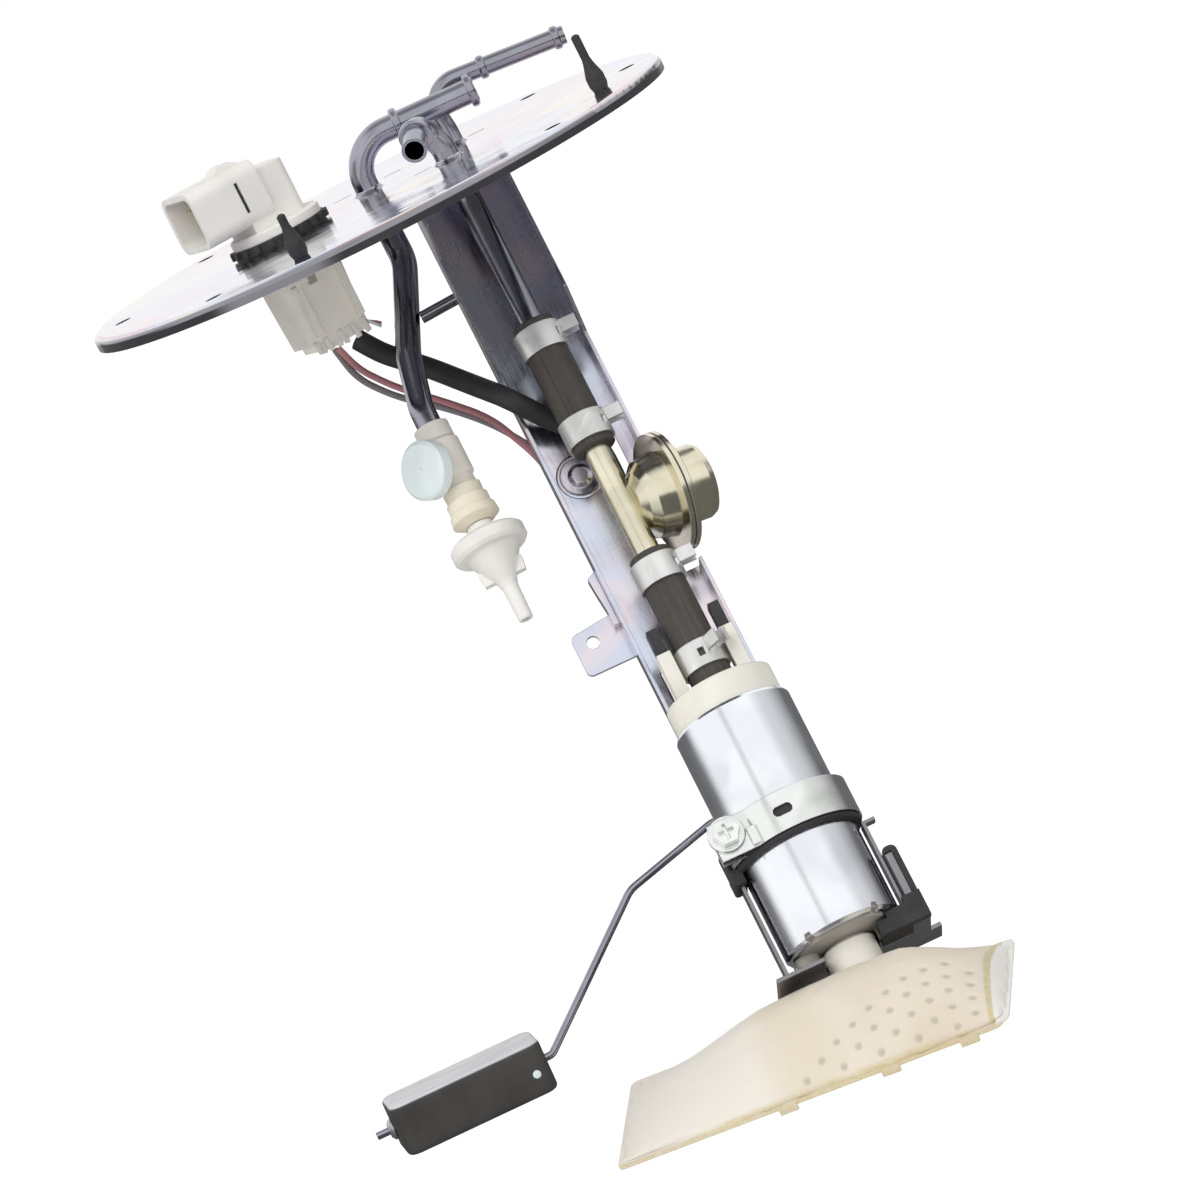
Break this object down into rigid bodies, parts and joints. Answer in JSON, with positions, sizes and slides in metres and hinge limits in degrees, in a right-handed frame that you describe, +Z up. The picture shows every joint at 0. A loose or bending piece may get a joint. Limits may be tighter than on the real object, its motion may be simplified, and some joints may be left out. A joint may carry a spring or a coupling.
{
  "type": "fuel pump module",
  "caption": "In-tank fuel pump module: bolted flange with pipes and socket, leaning hanger, hose line with damper, pump in a band, float arm and strainer.",
  "frame": {"origin": "centre of the bolt circle, on the underside of the steel flange plate", "axes": "+Z up out of the tank along the flange axis; the pump hangs down toward -Y; the harness socket is on the -X side"},
  "size_m": [0.2306, 0.2841, 0.3249],
  "materials": {
    "zinc_plate": "zinc plated, bright",
    "steel_tube": "satin",
    "zinc_steel": "zinc plated, satin",
    "chromate": "yellow passivated zinc",
    "can_steel": "bright",
    "clamp_steel": "satin",
    "band_steel": "bright",
    "black_rubber": "matt",
    "hose_rubber": "matt",
    "ivory_plastic": "satin",
    "white_plastic": "satin",
    "cream_plastic": "matt",
    "black_plastic": "matt",
    "grey_plastic": "matt",
    "sock_fabric": "woven mesh",
    "foam_float": "matt",
    "brass": "bare",
    "copper": "bare",
    "iron_core": "bare",
    "magnet": "bare",
    "carbon": "matt",
    "spring_steel": "bare",
    "lead_cover": "matt"
  },
  "bodies": {
    "module": {"flange_plate": "zinc_plate", "flange_gasket": "black_rubber", "connector_socket": "ivory_plastic", "connector_pins": "brass", "connector_lock_ring": "black_rubber", "connector_seal": "black_rubber", "connector_plug": "ivory_plastic", "vent_pipe": "steel_tube", "feed_pipe": "steel_tube", "return_pipe": "steel_tube", "pipe_stay": "steel_tube", "hanger_bracket": "zinc_steel", "bracket_tab": "zinc_steel", "bracket_rivet": "zinc_steel", "upper_hose": "hose_rubber", "lower_hose": "hose_rubber", "hose_clamp_1": "clamp_steel", "hose_clamp_2": "clamp_steel", "hose_clamp_3": "clamp_steel", "hose_clamp_4": "clamp_steel", "damper_body": "chromate", "damper_cover": "chromate", "damper_diaphragm": "black_rubber", "damper_spring": "spring_steel", "power_sleeve": "black_rubber", "sender_leads": "lead_cover", "pump_leads": "black_rubber", "valve_body": "ivory_plastic", "valve_cap": "white_plastic", "valve_skirt": "ivory_plastic", "valve_spring": "spring_steel", "pump_shell": "can_steel", "pump_outlet_cap": "cream_plastic", "check_valve_spring": "spring_steel", "pump_terminals": "black_plastic", "motor_brushes": "carbon", "brush_springs": "spring_steel", "motor_magnets": "magnet", "shaft_bearings": "brass", "pump_casing": "grey_plastic", "inlet_cover": "grey_plastic", "band_clamp": "band_steel", "band_screw": "band_steel", "band_cushion": "black_rubber", "base_cushion": "black_rubber", "pump_cradle": "zinc_steel", "strainer_sock": "sock_fabric", "strainer_fitting": "cream_plastic", "sender_housing": "black_plastic", "sender_card": "white_plastic"},
    "rotor": {"armature_core": "iron_core", "armature_shaft": "spring_steel", "commutator": "copper", "impeller": "black_plastic"},
    "check_valve": {"outlet_check_valve": "brass"},
    "vent_float": {"valve_float": "black_plastic"},
    "float_arm": {"wiper_hub": "black_plastic", "float_arm": "steel_tube", "float_retainer": "spring_steel"},
    "float": {"float_block": "foam_float"}
  },
  "joints": [
    {"name": "armature_spin", "type": "hinge", "parent": "module", "child": "rotor", "pos_m": [0.026, -0.11132, -0.21926], "axis": [0, 0.4462, 0.8949], "continuous": true},
    {"name": "check_valve_lift", "type": "slide", "parent": "module", "child": "check_valve", "axis": [0, 0.4462, 0.8949], "range_m": [0, 0.002], "deforming": ["check_valve_spring"]},
    {"name": "vent_float_lift", "type": "slide", "parent": "module", "child": "vent_float", "axis": [0, 0.4462, 0.8949], "range_m": [0, 0.002], "deforming": ["valve_spring"]},
    {"name": "float_arm_swing", "type": "hinge", "parent": "module", "child": "float_arm", "pos_m": [0.02305, -0.07863, -0.21656], "axis": [-0.1045, 0.89, -0.4438], "range_deg": [0, 57]},
    {"name": "float_spin", "type": "hinge", "parent": "float_arm", "child": "float", "pos_m": [-0.09868, -0.10994, -0.25067], "axis": [0.9945, 0.0935, -0.0466], "continuous": true}
  ]
}
